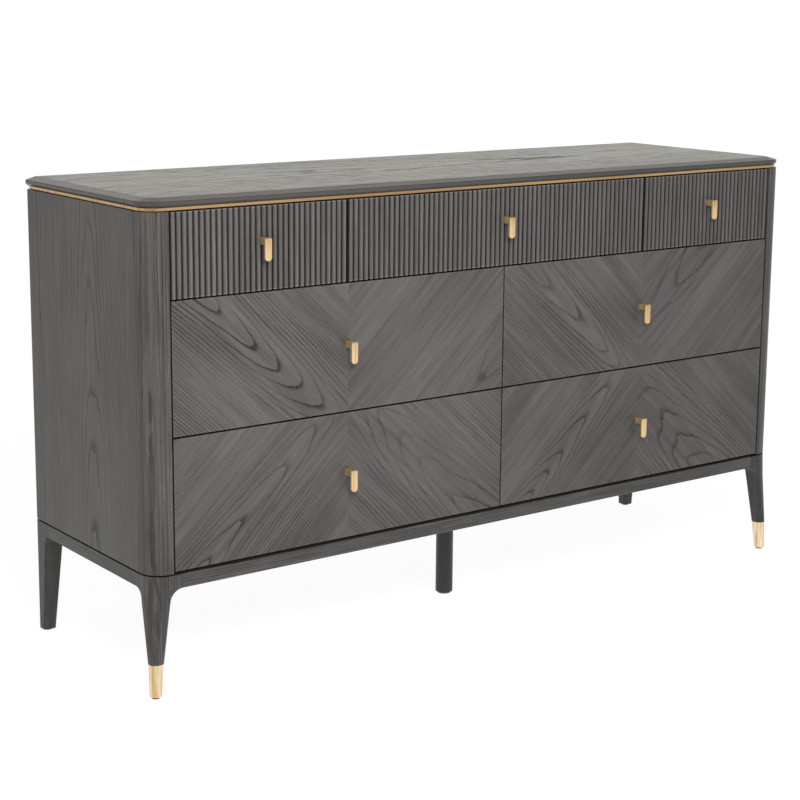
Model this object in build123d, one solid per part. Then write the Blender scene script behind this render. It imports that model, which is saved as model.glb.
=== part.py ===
from build123d import *
from dataclasses import dataclass
import math
import os

# Dresser with seven drawers, in millimetres. X runs along the front, the front faces -Y, Z is up.
# The origin is on the floor under the middle of the whole box, pulls included.

# Overall
CASE_W = 1500.0
CASE_D = 440.0
LEG_H = 188.0           # floor to the underside of the base rails
BASE_RAIL_H = 24.0
BASE_GAP = 3.0          # shadow line between base and case
SHADOW_GAP = 1.3        # shadow line between case and brass inlay
INLAY_H = 4.6
SLAB_T = 15.8
CORNER_R = 38.0         # front corners of slab, posts and legs in plan
REAR_CORNER_R = 8.0
FLAT_TOL = 0.01         # for picking edges at one level

# Top
SLAB_BEVEL_W = 19.0     # shallow bevel along the front and both sides
SLAB_BEVEL_DROP = 5.2
SLAB_UNDER_H = 4.4      # bevel under the edge, down to the inlay
SLAB_EDGE_ROUND = 1.5
INLAY_IN = 3.8          # how far the inlay stands back from the slab's edge
SPACER_IN = 10.0        # how far the spacer under the slab stands back
BASE_SPACER_IN = 6.0

# Case
POST_W = 43.5
FRONT_POST_D = 40.0
REAR_POST_D = 45.0
SEAM_CHAMFER = 0.6
SIDE_T = 20.0
SHELF_T = 18.0
PARTITION_T = 22.0
BACK_T = 8.0
MIDDLE_RAIL_D = 60.0
PACKER_H = 60.0

# Drawer fronts
FRONT_T = 20.0
FRONT_GAP = 3.0
TOP_FRONT_GAP = 1.3     # upper fronts to the top of the case
STOP_GAP = 2.0          # closed front to the case boards behind it
LOWER_FRONT_H = 228.0
UPPER_FRONT_H = 143.0
FRONT_EDGE_ROUND = 1.2
REED_PITCH = 11.0
REED_GROOVE = 1.6
REED_DEPTH = 4.4

# Drawer boxes
BOX_REAR_GAP = 32.0     # box to the back panel
BOX_T = 12.0
BOX_BOTTOM_T = 6.0
BOX_BOTTOM_UP = 10.0
BOX_LIFT = 24.0         # box above the lower edge of its front
LOWER_BOX_DROP = 54.0   # box below the upper edge of its front
UPPER_BOX_DROP = 29.0

# Runners: a fixed channel on the case and a nested channel on the drawer
RUNNER_SPACE = 12.7
RUNNER_H = 45.0
RUNNER_SHORT = 25.0     # runner's rear end in front of the box's
RUNNER_T = 1.2
RUNNER_CLEAR = 0.4
CHANNEL_D = 9.5
MEMBER_STAND = 2.0      # drawer channel's flange ends to the case
RUNNER_BACK = 3.0       # runner behind the front edges of the case boards

# Pulls
STEM_W = 12.5
PULL_STAND = 16.0       # drawer face to the back of the tab
TAB_W = 13.5
TAB_H = 39.0
TAB_T = 5.0
TAB_TOP_R = 2.0
TAB_END_R = 5.7
TAB_CHAMFER = 0.8
LOWER_TAB_DROP = 7.0    # tab's middle below the middle of a lower front
SEAT_CLEAR = 0.3
SCREW_D = 4.0
SCREW_CLEAR = 0.3
SCREW_GRIP = 9.0        # screw inside the stem
SCREW_HEAD_D = 8.0
SCREW_HEAD_T = 2.4

# Base
BASE_RAIL_T = 22.0
EAR_X = 60.0            # leg block along the front
EAR_Y = 54.0            # leg block along the side
LEG_TOP_W = 35.5
LEG_EDGE_R = 1.0
LEG_TOP_FLAT = 1.5      # flat left beside the round corner at the top of a front leg's shaft
FRONT_TOE_W = 27.0
REAR_TOE_W = 25.0
REAR_TOE_R = 7.0
TOE_FLAT = 0.6          # flat left between the round corners of the front toe
FERRULE_H = 57.0
FERRULE_END_D = 21.0
FERRULE_END_ROUND = 1.0
TENON_D = 16.0
TENON_L = 36.0
TENON_CLEAR = 0.2
GLIDE_D = 14.0
GLIDE_H = 3.0
CROSS_RAIL_W = 60.0
SUPPORT_D = 34.0
SUPPORT_BACK = 170.0    # front face to the support leg's axis
SUPPORT_END_CHAMFER = 4.0

# Levels and planes that follow from the sizes above
Z_BASE_TOP = LEG_H + BASE_RAIL_H
Z_CASE = Z_BASE_TOP + BASE_GAP
CASE_H = 2 * LOWER_FRONT_H + UPPER_FRONT_H + 3 * FRONT_GAP + TOP_FRONT_GAP
Z_CASE_TOP = Z_CASE + CASE_H
Z_INLAY = Z_CASE_TOP + SHADOW_GAP
Z_SLAB = Z_INLAY + INLAY_H
Z_TOP = Z_SLAB + SLAB_T
Z_MIDDLE_ROW = Z_CASE + LOWER_FRONT_H + 2 * FRONT_GAP
Z_UPPER_ROW = Z_MIDDLE_ROW + LOWER_FRONT_H + FRONT_GAP
HALF_W = CASE_W / 2
FRONT_Y = (PULL_STAND + TAB_T - CASE_D) / 2
BACK_Y = FRONT_Y + CASE_D
INNER_FRONT_Y = FRONT_Y + FRONT_T + STOP_GAP
INNER_BACK_Y = BACK_Y - BACK_T
OPENING_X = HALF_W - POST_W
UPPER_SPLIT_X = OPENING_X / 2   # the upper row divides 1 : 2 : 1
SIDE_INNER_X = HALF_W - SIDE_T
BOX_Y0 = FRONT_Y + FRONT_T
BOX_Y1 = INNER_BACK_Y - BOX_REAR_GAP
RUNNER_Y0 = INNER_FRONT_Y + RUNNER_BACK
RUNNER_Y1 = BOX_Y1 - RUNNER_SHORT
FERRULE_TOP_Z = GLIDE_H + FERRULE_H


@dataclass
class Drawer:
    """One drawer: the cell its front fills, the walls its runners hang on, and its box."""

    name: str
    left: float         # cell edges, a post's face or a partition's centre line
    right: float
    z0: float           # lower edge of the front
    height: float
    box_drop: float     # box below the upper edge of the front
    reeded: bool
    tab_drop: float

    def front_span(self):
        """X of the front's two ends, one gap from a post and half a gap from a centre line."""
        left_gap = FRONT_GAP if self.left == -OPENING_X else FRONT_GAP / 2
        right_gap = FRONT_GAP if self.right == OPENING_X else FRONT_GAP / 2
        return self.left + left_gap, self.right - right_gap

    def walls(self):
        """X of the two faces that carry the fixed runners."""
        left_wall = self.left if self.left == -OPENING_X else self.left + PARTITION_T / 2
        right_wall = self.right if self.right == OPENING_X else self.right - PARTITION_T / 2
        return left_wall, right_wall

    def box_span(self):
        """X of the box's two outer faces."""
        left_wall, right_wall = self.walls()
        return left_wall + RUNNER_SPACE, right_wall - RUNNER_SPACE

    def box_levels(self):
        """Z of the box's lower and upper edges."""
        return self.z0 + BOX_LIFT, self.z0 + self.height - self.box_drop

    def runner_z(self):
        """Z of the runners' middle."""
        return sum(self.box_levels()) / 2

    def middle_x(self):
        """X of the pull."""
        return sum(self.front_span()) / 2

    def tab_top(self):
        """Z of the upper end of the pull."""
        return self.z0 + self.height / 2 + TAB_H / 2 - self.tab_drop

    def seat_y(self):
        """Y of the flat that the pull's stem stands on."""
        return FRONT_Y + REED_DEPTH if self.reeded else FRONT_Y


def drawer_list():
    """The seven drawers, upper row first."""
    split = UPPER_SPLIT_X
    upper_cells = {"left": (-OPENING_X, -split), "centre": (-split, split), "right": (split, OPENING_X)}
    lower_cells = {"left": (-OPENING_X, 0.0), "right": (0.0, OPENING_X)}
    lower_rows = {"middle": Z_MIDDLE_ROW, "bottom": Z_CASE + FRONT_GAP}
    drawers = []
    for side, (left, right) in upper_cells.items():
        name = f"top_{side}"
        drawers.append(Drawer(name, left, right, Z_UPPER_ROW, UPPER_FRONT_H, UPPER_BOX_DROP, True, 0.0))
    for row, z0 in lower_rows.items():
        for side, (left, right) in lower_cells.items():
            name = f"{row}_{side}"
            drawer = Drawer(name, left, right, z0, LOWER_FRONT_H, LOWER_BOX_DROP, False, LOWER_TAB_DROP)
            drawers.append(drawer)
    return drawers


def plate(x0, x1, y0, y1, z0, z1):
    """A board given by two opposite corners."""
    middle = Pos((x0 + x1) / 2, (y0 + y1) / 2, (z0 + z1) / 2)
    return middle * Box(abs(x1 - x0), abs(y1 - y0), abs(z1 - z0))


def rounded_face(x0, x1, y0, y1, radii, z=0.0):
    """A level rectangle with a radius for each corner, from (x0, y0) anticlockwise."""
    corners = [Vector(x0, y0, z), Vector(x1, y0, z), Vector(x1, y1, z), Vector(x0, y1, z)]
    ways = [Vector(1, 0, 0), Vector(0, 1, 0), Vector(-1, 0, 0), Vector(0, -1, 0)]
    edges = []
    for i in range(4):
        j = (i + 1) % 4
        arc_start = corners[j] - ways[i] * radii[j]
        edges.append(Edge.make_line(corners[i] + ways[i] * radii[i], arc_start))
        if radii[j] > 0:
            arc_end = corners[j] + ways[j] * radii[j]
            middle = arc_start + ways[j] * radii[j] + (ways[i] - ways[j]) * (radii[j] / math.sqrt(2))
            edges.append(Edge.make_three_point_arc(arc_start, middle, arc_end))
    return Face(Wire(edges))


def rounded_board(inset, z0, z1, rear_y=None):
    """A board of the case's plan, set back by an inset, with the round front corners."""
    front_r = CORNER_R - inset
    rear_r = max(REAR_CORNER_R - inset, 0.0)
    rear = BACK_Y - inset if rear_y is None else rear_y
    radii = [front_r, front_r, rear_r, rear_r]
    face = rounded_face(-HALF_W + inset, HALF_W - inset, FRONT_Y + inset, rear, radii, z0)
    return extrude(face, amount=z1 - z0, dir=(0, 0, 1))


def rod_to_front(x, y, z, diameter, length):
    """A round bar that starts at a point and runs towards the front."""
    bar = Cylinder(diameter / 2, length, align=(Align.CENTER, Align.CENTER, Align.MIN))
    return Pos(x, y, z) * Rot(90, 0, 0) * bar


def save(name, *solids):
    """Write one node, a single solid or a group of separate ones."""
    shape = solids[0] if len(solids) == 1 else Compound(list(solids))
    export_step(shape, f"parts/{name}.step")


def on_both_sides(left):
    """A left-hand piece and its mirror image on the right."""
    return {"left": left, "right": mirror(left, Plane.YZ)}


def front_rim(face):
    """The edges of a level face along the front and both sides."""
    return face.edges().sort_by(Axis.Y)[:-1]


def top_panel():
    """The slab, square at the back, with a shallow bevel above and a short one below its other edges."""
    radii = [CORNER_R, CORNER_R, 0.0, 0.0]
    slab = extrude(rounded_face(-HALF_W, HALF_W, FRONT_Y, BACK_Y, radii, Z_SLAB), amount=SLAB_T, dir=(0, 0, 1))
    top = slab.faces().sort_by(Axis.Z)[-1]
    slab = chamfer(front_rim(top), SLAB_BEVEL_W, SLAB_BEVEL_DROP, reference=top)
    under = slab.faces().sort_by(Axis.Z)[0]
    slab = chamfer(front_rim(under), INLAY_IN, SLAB_UNDER_H, reference=under)
    arris_z = Z_TOP - SLAB_BEVEL_DROP
    arris = slab.edges().filter_by_position(Axis.Z, arris_z - FLAT_TOL, arris_z + FLAT_TOL)
    return fillet(arris, SLAB_EDGE_ROUND)


def brass_inlay():
    """A U-shaped bar under the slab along the front and both sides."""
    outer = rounded_board(INLAY_IN, Z_INLAY, Z_SLAB)
    return outer - rounded_board(SPACER_IN, Z_INLAY, Z_SLAB, rear_y=BACK_Y)


def front_left_post():
    """Corner post with a round outer edge and a fine chamfer at the panel's seam."""
    radii = [CORNER_R, 0.0, 0.0, 0.0]
    face = rounded_face(-HALF_W, -OPENING_X, FRONT_Y, FRONT_Y + FRONT_POST_D, radii, Z_CASE)
    post = extrude(face, amount=CASE_H, dir=(0, 0, 1))
    seam = post.edges().filter_by(Axis.Z).group_by(Axis.Y)[-1].sort_by(Axis.X)[0]
    return chamfer(seam, SEAM_CHAMFER)


def rear_left_post():
    """Rear corner post, flush with the side panel."""
    radii = [0.0, 0.0, 0.0, REAR_CORNER_R]
    face = rounded_face(-HALF_W, -OPENING_X, BACK_Y - REAR_POST_D, BACK_Y, radii, Z_CASE)
    post = extrude(face, amount=CASE_H, dir=(0, 0, 1))
    seam = post.edges().filter_by(Axis.Z).group_by(Axis.Y)[0].sort_by(Axis.X)[0]
    return chamfer(seam, SEAM_CHAMFER)


def left_side_panel():
    """Flush panel between the two posts of one side."""
    y0 = FRONT_Y + FRONT_POST_D
    panel = plate(-HALF_W, -SIDE_INNER_X, y0, BACK_Y - REAR_POST_D, Z_CASE, Z_CASE_TOP)
    seams = panel.edges().filter_by(Axis.Z).group_by(Axis.X)[0]
    return chamfer(seams, SEAM_CHAMFER)


def shelf(z0):
    """A board across the whole case, notched round the four posts."""
    board = plate(-SIDE_INNER_X, SIDE_INNER_X, INNER_FRONT_Y, INNER_BACK_Y, z0, z0 + SHELF_T)
    for side in (-1, 1):
        x0 = side * OPENING_X
        x1 = side * HALF_W
        board -= plate(x0, x1, FRONT_Y, FRONT_Y + FRONT_POST_D, z0, z0 + SHELF_T)
        board -= plate(x0, x1, BACK_Y - REAR_POST_D, BACK_Y, z0, z0 + SHELF_T)
    return board


def partition(x, z0, z1):
    """An upright board between two shelves."""
    return plate(x - PARTITION_T / 2, x + PARTITION_T / 2, INNER_FRONT_Y, INNER_BACK_Y, z0, z1)


def middle_rail(side, z0):
    """A cross rail between the centre partition and a post, behind the joint of two fronts."""
    y1 = INNER_FRONT_Y + MIDDLE_RAIL_D
    return plate(side * PARTITION_T / 2, side * OPENING_X, INNER_FRONT_Y, y1, z0, z0 + SHELF_T)


def packer(side, z):
    """A batten that brings a runner in line with the posts."""
    y0 = FRONT_Y + FRONT_POST_D
    y1 = BACK_Y - REAR_POST_D
    return plate(side * OPENING_X, side * SIDE_INNER_X, y0, y1, z - PACKER_H / 2, z + PACKER_H / 2)


def channel(open_x, web_x, z, height):
    """A runner's C section, with its web at web_x and its flanges reaching open_x."""
    way = math.copysign(1.0, web_x - open_x)
    half = height / 2
    bar = plate(open_x, web_x, RUNNER_Y0, RUNNER_Y1, z - half, z + half)
    hollow_x = web_x - way * RUNNER_T
    inner = half - RUNNER_T
    return bar - plate(open_x - way * RUNNER_T, hollow_x, RUNNER_Y0, RUNNER_Y1, z - inner, z + inner)


def cabinet_channels(drawer):
    """The two fixed runners of one drawer."""
    left_wall, right_wall = drawer.walls()
    z = drawer.runner_z()
    left = channel(left_wall + CHANNEL_D, left_wall, z, RUNNER_H)
    right = channel(right_wall - CHANNEL_D, right_wall, z, RUNNER_H)
    return [left, right]


def drawer_channels(drawer):
    """The two runners on the drawer, nested in the fixed ones."""
    left_wall, right_wall = drawer.walls()
    left_box, right_box = drawer.box_span()
    z = drawer.runner_z()
    height = RUNNER_H - 2 * RUNNER_T - 2 * RUNNER_CLEAR
    left = channel(left_wall + MEMBER_STAND, left_box, z, height)
    right = channel(right_wall - MEMBER_STAND, right_box, z, height)
    return [left, right]


def screw_z(drawer):
    """Z of the pull's screw, the middle of its stem."""
    return drawer.tab_top() - STEM_W / 2


def screw_hole(drawer):
    """Clearance hole for the pull's screw, through the front and the box."""
    y = BOX_Y0 + BOX_T
    return rod_to_front(drawer.middle_x(), y, screw_z(drawer), SCREW_D + 2 * SCREW_CLEAR, BOX_T + FRONT_T)


def flat_front(drawer):
    """A plain front with softened edges."""
    x0, x1 = drawer.front_span()
    board = plate(x0, x1, FRONT_Y, FRONT_Y + FRONT_T, drawer.z0, drawer.z0 + drawer.height)
    board = fillet(board.faces().sort_by(Axis.Y)[0].edges(), FRONT_EDGE_ROUND)
    return board - screw_hole(drawer)


def reed_outline(x0, x1):
    """The front's section: a row of convex reeds with narrow flat grooves between them."""
    count = round((x1 - x0) / REED_PITCH)
    pitch = (x1 - x0) / count
    floor_y = FRONT_Y + REED_DEPTH
    last = Vector(x0, floor_y)
    edges = []
    for i in range(count):
        start = Vector(x0 + i * pitch + REED_GROOVE / 2, floor_y)
        end = Vector(x0 + (i + 1) * pitch - REED_GROOVE / 2, floor_y)
        crest = Vector((start.X + end.X) / 2, FRONT_Y)
        edges.append(Edge.make_line(last, start))
        edges.append(Edge.make_three_point_arc(start, crest, end))
        last = end
    back_y = FRONT_Y + FRONT_T
    for point in (Vector(x1, floor_y), Vector(x1, back_y), Vector(x0, back_y), Vector(x0, floor_y)):
        edges.append(Edge.make_line(last, point))
        last = point
    return Face(Wire(edges))


def reeded_front(drawer):
    """A front of upright reeds, with a flat seat let in for the pull's stem."""
    x0, x1 = drawer.front_span()
    board = extrude(Pos(0, 0, drawer.z0) * reed_outline(x0, x1), amount=drawer.height, dir=(0, 0, 1))
    half = STEM_W / 2 + SEAT_CLEAR
    x = drawer.middle_x()
    z = screw_z(drawer)
    board -= plate(x - half, x + half, FRONT_Y, drawer.seat_y(), z - half, z + half)
    return board - screw_hole(drawer)


def drawer_box(drawer):
    """The box behind a front: two sides, inner front, back and bottom."""
    x0, x1 = drawer.box_span()
    z0, z1 = drawer.box_levels()
    inner_x0 = x0 + BOX_T
    inner_x1 = x1 - BOX_T
    inner_y0 = BOX_Y0 + BOX_T
    inner_y1 = BOX_Y1 - BOX_T
    floor_z = z0 + BOX_BOTTOM_UP
    left = plate(x0, inner_x0, BOX_Y0, BOX_Y1, z0, z1)
    right = plate(inner_x1, x1, BOX_Y0, BOX_Y1, z0, z1)
    inner_front = plate(inner_x0, inner_x1, BOX_Y0, inner_y0, z0, z1) - screw_hole(drawer)
    back = plate(inner_x0, inner_x1, inner_y1, BOX_Y1, z0, z1)
    bottom = plate(inner_x0, inner_x1, inner_y0, inner_y1, floor_z, floor_z + BOX_BOTTOM_T)
    return [left, right, inner_front, back, bottom]


def pull(drawer):
    """A square stem, the tab that hangs from it, and the screw from inside the drawer."""
    x = drawer.middle_x()
    top = drawer.tab_top()
    z = screw_z(drawer)
    tab_y = FRONT_Y - PULL_STAND
    outline = rounded_face(-TAB_W / 2, TAB_W / 2, -TAB_H, 0.0, [TAB_END_R, TAB_END_R, TAB_TOP_R, TAB_TOP_R])
    tab = Pos(x, tab_y, top) * Rot(90, 0, 0) * extrude(outline, amount=TAB_T, dir=(0, 0, 1))
    tab = chamfer(tab.faces().sort_by(Axis.Y)[0].edges(), TAB_CHAMFER)
    stem = plate(x - STEM_W / 2, x + STEM_W / 2, tab_y, drawer.seat_y(), top - STEM_W, top)
    grip = SCREW_GRIP + drawer.seat_y() - FRONT_Y
    stem -= rod_to_front(x, drawer.seat_y(), z, SCREW_D + 2 * SCREW_CLEAR, grip + SCREW_CLEAR)
    head_y = BOX_Y0 + BOX_T
    screw = rod_to_front(x, head_y, z, SCREW_D, head_y - FRONT_Y + SCREW_GRIP)
    screw += rod_to_front(x, head_y + SCREW_HEAD_T, z, SCREW_HEAD_D, SCREW_HEAD_T)
    return [tab, stem, screw]


def ear_outline(ear, level):
    """Leg block seen from one face: the ear beside the rail and the hollow curve into the leg."""
    curve = ear - LEG_TOP_W
    under = LEG_H - curve
    middle = Vector(ear - curve * math.cos(math.pi / 4), under + curve * math.sin(math.pi / 4))
    corner = Vector(ear, LEG_H)
    turn = Vector(LEG_TOP_W, under)
    points = [turn, Vector(LEG_TOP_W, level), Vector(0, level), Vector(0, Z_BASE_TOP)]
    points += [Vector(ear, Z_BASE_TOP), corner]
    edges = [Edge.make_line(a, b) for a, b in zip(points, points[1:]) if (b - a).length > 0]
    edges.append(Edge.make_three_point_arc(corner, middle, turn))
    return Face(Wire(edges))


def leg(outer_r, shaft_r, toe_w, toe_r, toe_z):
    """A leg with its outer corner at the origin: block, hollow curves and a shaft with plumb outer faces."""
    level = LEG_H - max(EAR_X, EAR_Y) + LEG_TOP_W
    along_x = Rot(90, 0, 0) * extrude(ear_outline(EAR_X, level), amount=EAR_Y, dir=(0, 0, -1))
    swing = Rot(0, 0, 90) * Rot(90, 0, 0)
    along_y = swing * extrude(ear_outline(EAR_Y, level), amount=EAR_X, dir=(0, 0, 1))
    low_plan = rounded_face(0, EAR_X, 0, EAR_Y, [shaft_r, 0.0, 0.0, 0.0], level)
    high_plan = rounded_face(0, EAR_X, 0, EAR_Y, [outer_r, 0.0, 0.0, 0.0], Z_BASE_TOP)
    block = along_x & along_y & loft([low_plan, high_plan])
    upper = rounded_face(0, LEG_TOP_W, 0, LEG_TOP_W, [shaft_r, LEG_EDGE_R, LEG_EDGE_R, LEG_EDGE_R], level)
    lower = rounded_face(0, toe_w, 0, toe_w, [toe_r] * 4, toe_z)
    return block + loft([lower, upper])


def front_leg():
    """Front leg with the tenon that its ferrule slips over."""
    middle = FRONT_TOE_W / 2
    shaft_r = LEG_TOP_W - LEG_EDGE_R - LEG_TOP_FLAT
    shaft = leg(CORNER_R, shaft_r, FRONT_TOE_W, (FRONT_TOE_W - TOE_FLAT) / 2, FERRULE_TOP_Z)
    tenon = Cylinder(TENON_D / 2, TENON_L, align=(Align.CENTER, Align.CENTER, Align.MAX))
    return shaft + Pos(middle, middle, FERRULE_TOP_Z) * tenon


def ferrule():
    """Brass cup with the leg's outer corner at the origin, plumb outside and tapered inside."""
    upper_r = FRONT_TOE_W / 2
    lower_r = FERRULE_END_D / 2
    upper = Pos(upper_r, upper_r, FERRULE_TOP_Z) * Circle(upper_r)
    lower = Pos(lower_r, lower_r, GLIDE_H) * Circle(lower_r)
    cup = loft([lower, upper])
    cup = fillet(cup.edges().sort_by(Axis.Z)[0], FERRULE_END_ROUND)
    depth = TENON_L + TENON_CLEAR
    socket = Cylinder(TENON_D / 2 + TENON_CLEAR, depth, align=(Align.CENTER, Align.CENTER, Align.MAX))
    return cup - Pos(upper_r, upper_r, FERRULE_TOP_Z) * socket


def glide_points(end_w, y_edge, way):
    """X and Y of the left and right glide under one pair of legs."""
    x = HALF_W - end_w / 2
    y = y_edge + way * end_w / 2
    return [(-x, y), (x, y)]


def support_leg():
    """Round post under the middle of the case."""
    post = Cylinder(SUPPORT_D / 2, LEG_H, align=(Align.CENTER, Align.CENTER, Align.MIN))
    post = chamfer(post.edges().sort_by(Axis.Z)[0], SUPPORT_END_CHAMFER)
    return Pos(0, FRONT_Y + SUPPORT_BACK, 0) * post


def save_top():
    """Slab, brass inlay and the spacer between slab and case."""
    save("top_panel", top_panel())
    save("brass_inlay", brass_inlay())
    save("top_spacer", rounded_board(SPACER_IN, Z_CASE_TOP, Z_SLAB))


def save_case(drawers):
    """Posts, panels, shelves, partitions and the fixed runners."""
    pieces = {"front_{}_post": front_left_post(), "rear_{}_post": rear_left_post()}
    pieces["{}_side_panel"] = left_side_panel()
    for pattern, left in pieces.items():
        for side, piece in on_both_sides(left).items():
            save(pattern.format(side), piece)
    dust_z = Z_UPPER_ROW - FRONT_GAP / 2 - SHELF_T / 2
    rail_z = Z_MIDDLE_ROW - FRONT_GAP / 2 - SHELF_T / 2
    bottom_z = Z_CASE + SHELF_T
    top_z = Z_CASE_TOP - SHELF_T
    save("sub_top_panel", shelf(top_z))
    save("dust_panel", shelf(dust_z))
    save("bottom_panel", shelf(Z_CASE))
    save("back_panel", plate(-OPENING_X, OPENING_X, INNER_BACK_Y, BACK_Y, Z_CASE, Z_CASE_TOP))
    save("centre_partition", partition(0.0, bottom_z, dust_z))
    upper = [partition(side * UPPER_SPLIT_X, dust_z + SHELF_T, top_z) for side in (-1, 1)]
    save("upper_partitions", *upper)
    save("middle_front_rails", *[middle_rail(side, rail_z) for side in (-1, 1)])
    rows = sorted({drawer.runner_z() for drawer in drawers})
    save("runner_packers", *[packer(side, z) for z in rows for side in (-1, 1)])
    save("cabinet_runners", *[piece for drawer in drawers for piece in cabinet_channels(drawer)])


def save_base():
    """Rails, legs, ferrules, glides and the support leg."""
    save("base_spacer", rounded_board(BASE_SPACER_IN, Z_BASE_TOP, Z_CASE))
    x = HALF_W - EAR_X
    inner_front = FRONT_Y + BASE_RAIL_T
    inner_back = BACK_Y - BASE_RAIL_T
    save("base_front_rail", plate(-x, x, FRONT_Y, inner_front, LEG_H, Z_BASE_TOP))
    save("base_rear_rail", plate(-x, x, inner_back, BACK_Y, LEG_H, Z_BASE_TOP))
    left_rail = plate(-HALF_W, -HALF_W + BASE_RAIL_T, FRONT_Y + EAR_Y, BACK_Y - EAR_Y, LEG_H, Z_BASE_TOP)
    half = CROSS_RAIL_W / 2
    save("base_cross_rail", plate(-half, half, inner_front, inner_back, LEG_H, Z_BASE_TOP))
    rear_leg = mirror(leg(REAR_CORNER_R, REAR_CORNER_R, REAR_TOE_W, REAR_TOE_R, GLIDE_H), Plane.XZ)
    front_corner = Pos(-HALF_W, FRONT_Y, 0)
    pieces = {"front_{}_leg": front_corner * front_leg()}
    pieces["rear_{}_leg"] = Pos(-HALF_W, BACK_Y, 0) * rear_leg
    pieces["base_{}_rail"] = left_rail
    for pattern, left in pieces.items():
        for side, piece in on_both_sides(left).items():
            save(pattern.format(side), piece)
    save("front_ferrules", *on_both_sides(front_corner * ferrule()).values())
    disc = Cylinder(GLIDE_D / 2, GLIDE_H, align=(Align.CENTER, Align.CENTER, Align.MIN))
    points = glide_points(FERRULE_END_D, FRONT_Y, 1) + glide_points(REAR_TOE_W, BACK_Y, -1)
    save("leg_glides", *[Pos(x, y, 0) * disc for x, y in points])
    save("centre_support_leg", support_leg())


def save_drawer(drawer):
    """Front, box, pull and runners of one drawer."""
    front = reeded_front(drawer) if drawer.reeded else flat_front(drawer)
    save(f"{drawer.name}_front", front)
    save(f"{drawer.name}_box", *drawer_box(drawer))
    save(f"{drawer.name}_pull", *pull(drawer))
    save(f"{drawer.name}_runners", *drawer_channels(drawer))


def main():
    """Build every node of the dresser."""
    os.makedirs("parts", exist_ok=True)
    drawers = drawer_list()
    save_top()
    save_case(drawers)
    save_base()
    for drawer in drawers:
        save_drawer(drawer)


main()
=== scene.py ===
import logging
import math
from dataclasses import dataclass, field, replace
from enum import Enum
from typing import Any, Sequence

import bmesh
import bpy
from mathutils import Matrix, Vector


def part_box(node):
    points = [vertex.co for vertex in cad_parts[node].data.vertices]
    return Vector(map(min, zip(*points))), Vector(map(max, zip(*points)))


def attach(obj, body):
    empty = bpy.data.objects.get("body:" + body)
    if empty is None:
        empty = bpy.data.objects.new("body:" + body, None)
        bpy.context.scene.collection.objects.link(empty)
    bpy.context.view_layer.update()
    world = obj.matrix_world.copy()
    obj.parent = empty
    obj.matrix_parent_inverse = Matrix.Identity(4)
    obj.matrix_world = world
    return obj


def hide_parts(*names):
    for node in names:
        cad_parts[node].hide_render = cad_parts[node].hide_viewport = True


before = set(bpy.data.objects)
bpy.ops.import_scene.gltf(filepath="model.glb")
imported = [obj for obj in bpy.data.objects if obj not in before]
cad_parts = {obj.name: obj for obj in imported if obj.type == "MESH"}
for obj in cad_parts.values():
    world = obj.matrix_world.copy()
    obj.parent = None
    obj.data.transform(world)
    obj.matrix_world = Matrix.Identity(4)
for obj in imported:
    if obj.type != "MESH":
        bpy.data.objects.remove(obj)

# Dark oak dresser with brass trim. Metres, +Z up, the front faces -Y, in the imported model's own frame.

Tree = bpy.types.NodeTree
Node = bpy.types.Node
Socket = bpy.types.NodeSocket
Material = bpy.types.Material
Piece = bpy.types.Object
Shape = bmesh.types.BMesh
Edge = bmesh.types.BMEdge
Triple = tuple[float, float, float]
Pair = tuple[float, float]
Stops = Sequence[tuple[float, str]]

MM = 0.001
LOG = logging.getLogger("dresser")
CASE_BODY = "case"
IMAGE_PX = 800
SENSOR_MM = 36.0
ON_FACE = 0.1 * MM              # a vertex this close to a face counts as on it
NOISE_MIDDLE = 0.5              # noise runs from zero to one about this
NOISE_DETAIL = 2.0              # octaves of finer noise in most patterns
WOOD_NOISE_ROUGHNESS = 0.55     # strength of each finer octave in wood
SEED_STEPS = (3.1, 5.7, 8.3)    # cells by which a log's seed moves its noise along each axis
# A growth line, from its sharp dark edge to clear wood.
LINE_PROFILE = ((0.0, "#FFFFFF"), (0.16, "#E6E6E6"), (0.42, "#5A5A5A"), (0.75, "#000000"))


class Kind(Enum):
    """The kinds of node that the finishes are made of."""

    BUMP = "ShaderNodeBump"
    COORDINATES = "ShaderNodeTexCoord"
    JOIN = "ShaderNodeCombineXYZ"
    MATH = "ShaderNodeMath"
    NOISE = "ShaderNodeTexNoise"
    RAMP = "ShaderNodeValToRGB"
    RANGE = "ShaderNodeMapRange"
    SPLIT = "ShaderNodeSeparateXYZ"
    TURN = "ShaderNodeMapping"
    VECTOR_MATH = "ShaderNodeVectorMath"


class Grain(Enum):
    """Which way the grain of a piece runs, as a turn of the log's frame in degrees."""

    ALONG = (0.0, 0.0, 0.0)
    DEPTH = (0.0, 0.0, 90.0)
    UPRIGHT = (0.0, -90.0, 0.0)
    RISING = (0.0, -43.0, 0.0)
    FALLING = (0.0, 43.0, 0.0)


class Face(Enum):
    """Which local axis of the log points out of the face that shows."""

    FRONT = "Y"
    TOP_OR_SIDE = "Z"


def linear(hex_colour: str) -> tuple[float, float, float, float]:
    """Turns an sRGB hex colour into linear RGBA.

    Args:
        hex_colour: six hex digits with a leading hash.

    Returns:
        Linear red, green, blue and an alpha of one.
    """
    parts = [int(hex_colour[i:i + 2], 16) / 255 for i in (1, 3, 5)]
    red, green, blue = [p / 12.92 if p <= 0.04045 else ((p + 0.055) / 1.055) ** 2.4 for p in parts]
    return red, green, blue, 1.0


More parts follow.
